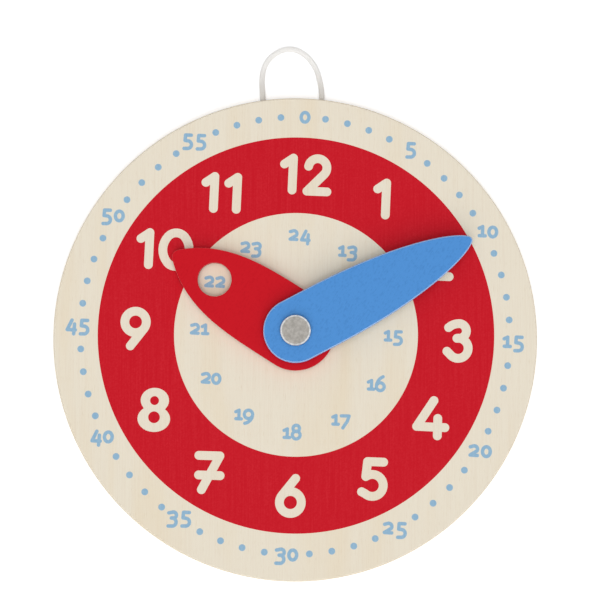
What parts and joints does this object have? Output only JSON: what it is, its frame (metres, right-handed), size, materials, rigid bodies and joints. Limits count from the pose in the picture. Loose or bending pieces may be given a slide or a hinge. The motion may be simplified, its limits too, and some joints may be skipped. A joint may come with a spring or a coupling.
{
  "type": "teaching clock",
  "caption": "Round plywood teaching clock lying on its back, with an hour hand with a window, a minute hand on a flat pivot, and a cord loop to hang it by.",
  "frame": {"origin": "centre of the round board, on its flat back, where it rests on a table", "axes": "+Z out of the dial, +Y towards twelve o'clock and the cord loop, +X towards three o'clock"},
  "size_m": [0.215, 0.2387, 0.0191],
  "materials": {
    "plywood": "fine-sanded pale birch plywood, screen printed, thin matt lacquer",
    "red_hand": "plywood painted satin red",
    "blue_hand": "plywood painted satin blue",
    "nickel": "nickel-plated steel, finely scratched",
    "nylon": "natural nylon",
    "zinc": "zinc-plated steel",
    "spring_steel": "bare spring steel",
    "cord": "braided white cotton"
  },
  "bodies": {
    "clock_board": {"dial_board": "plywood", "pivot_post": "nickel", "pivot_screw": "nickel", "head_washer": "nylon", "hand_washer": "nylon", "dial_washer": "nylon", "back_washer": "zinc", "wave_washer": "spring_steel", "hanging_cord": "cord"},
    "hour_hand_body": {"hour_hand": "red_hand"},
    "minute_hand_body": {"minute_hand": "blue_hand"}
  },
  "joints": [
    {"name": "hour_hand_turn", "type": "hinge", "parent": "clock_board", "child": "hour_hand_body", "pos_m": [0.00015, 0.003, 0.0091], "axis": [0, 0, 1], "continuous": true},
    {"name": "minute_hand_turn", "type": "hinge", "parent": "clock_board", "child": "minute_hand_body", "pos_m": [0.00015, 0.003, 0.0142], "axis": [0, 0, 1], "continuous": true}
  ]
}
